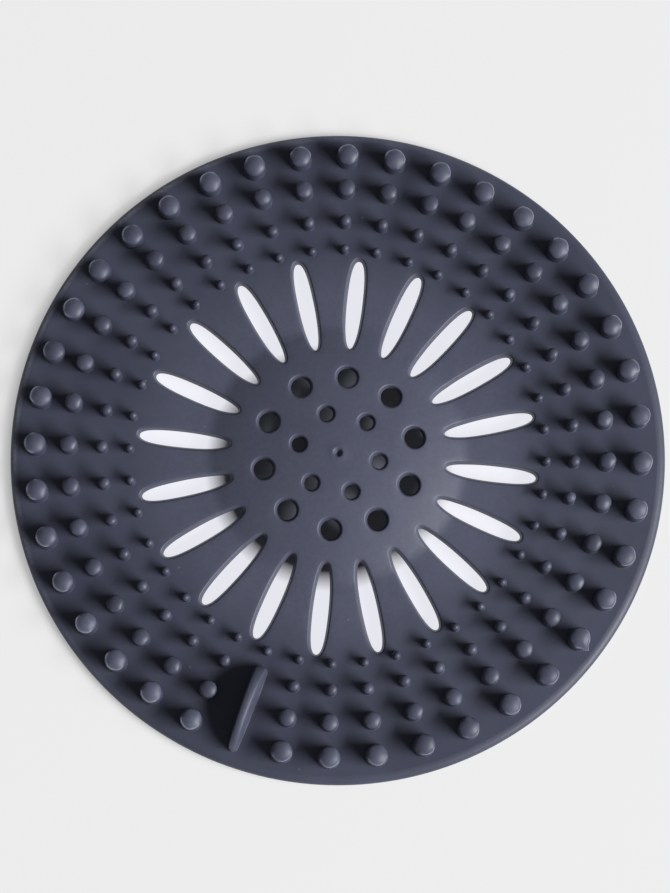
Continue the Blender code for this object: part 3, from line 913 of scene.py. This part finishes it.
def floor_material():
    """Pale and plain, in shade under the hub, with a glow that shows only where it is looked at.

    The glow is strongest in the slots, weak beside the rim, where the strainer's own shadow
    lies, and strong again on the open floor.
    """
    material = bpy.data.materials.new("pale_floor")
    nodes = Nodes(material)
    shader = nodes.tree.nodes["Principled BSDF"]
    shader.inputs["Roughness"].default_value = FLOOR_ROUGHNESS
    shader.inputs["Specular IOR Level"].default_value = 0.0
    radius = nodes.distance((0.0, 0.0, 0.0))
    slot_zone = [RADIUS * share for share in SLOT_ZONE_SHARES]
    edge_zone = [RADIUS * share for share in EDGE_ZONE_SHARES]
    hub = nodes.spread(nodes.distance(SHADE_MIDDLE), SHADE_RADIUS, SHADE_FADE_RADIUS, HUB_LIFT, 1.0)
    nodes.join(nodes.mix(hub, SHADE_COLOUR, FLOOR_COLOUR), shader.inputs["Base Color"])
    inner = nodes.spread(radius, *slot_zone, SLOT_LIFT, EDGE_LIFT)
    outer = nodes.spread(radius, *edge_zone, 0.0, FLOOR_LIFT - EDGE_LIFT)
    lift = nodes.calculate("MULTIPLY_ADD", hub, inner, outer)
    glow = nodes.make("ShaderNodeEmission", Strength=1.0)
    outside = nodes.spread(radius, *slot_zone, 0.0, 1.0)
    nodes.join(nodes.mix(outside, SLOT_GLOW, FLOOR_GLOW), glow.inputs["Color"])
    mix = nodes.make("ShaderNodeMixShader")
    nodes.join(nodes.calculate("MULTIPLY", lift, nodes.looked_at()), mix.inputs["Fac"])
    nodes.join(shader.outputs["BSDF"], mix.inputs[1])
    nodes.join(glow.outputs["Emission"], mix.inputs[2])
    nodes.join(mix.outputs["Shader"], nodes.tree.nodes["Material Output"].inputs["Surface"])
    return material


def make_floor():
    """The floor that the strainer lies on."""
    bpy.ops.mesh.primitive_plane_add(size=FLOOR_SIZE)
    floor = bpy.context.object
    floor.name = "floor"
    floor.data.materials.append(floor_material())


def make_world():
    """Even light from all round."""
    world = bpy.data.worlds.new("studio")
    bpy.context.scene.world = world
    world.use_nodes = True
    light = world.node_tree.nodes["Background"]
    light.inputs["Color"].default_value = (1, 1, 1, 1)
    light.inputs["Strength"].default_value = WORLD_LEVEL


def make_lights():
    """One soft key light from the right and a little in front."""
    light = bpy.data.lights.new("key", "AREA")
    light.shape = "ELLIPSE"
    light.size = KEY_WIDTH
    light.size_y = KEY_HEIGHT
    spread = KEY_DISTANCE**2 + KEY_WIDTH * KEY_HEIGHT / 4
    light.energy = KEY_LEVEL * math.pi**2 * spread / math.sin(KEY_ELEVATION)
    key = bpy.data.objects.new("key", light)
    bpy.context.scene.collection.objects.link(key)
    away = Vector(
        (
            math.cos(KEY_AZIMUTH) * math.cos(KEY_ELEVATION),
            math.sin(KEY_AZIMUTH) * math.cos(KEY_ELEVATION),
            math.sin(KEY_ELEVATION),
        )
    )
    key.location = away * KEY_DISTANCE
    key.rotation_mode = "QUATERNION"
    key.rotation_quaternion = away.to_track_quat("Z", "Y")


def make_camera():
    """The camera, where the photograph was taken from."""
    camera = bpy.data.objects.new("camera", bpy.data.cameras.new("camera"))
    bpy.context.scene.collection.objects.link(camera)
    camera.location = CAMERA_PLACE
    camera.rotation_euler = CAMERA_TURN
    camera.data.lens = CAMERA_LENS
    camera.data.sensor_width = CAMERA_SENSOR
    bpy.context.scene.camera = camera


def main():
    """Dress the strainer and set the scene."""
    rubber = rubber_material()
    make_moulding(rubber)
    make_tab(rubber)
    for node in sorted(name for name in frame["nodes"] if "cup" in name):
        make_cup(node, rubber)
    make_floor()
    make_world()
    make_lights()
    make_camera()
    bpy.context.scene.view_settings.view_transform = "Standard"


main()
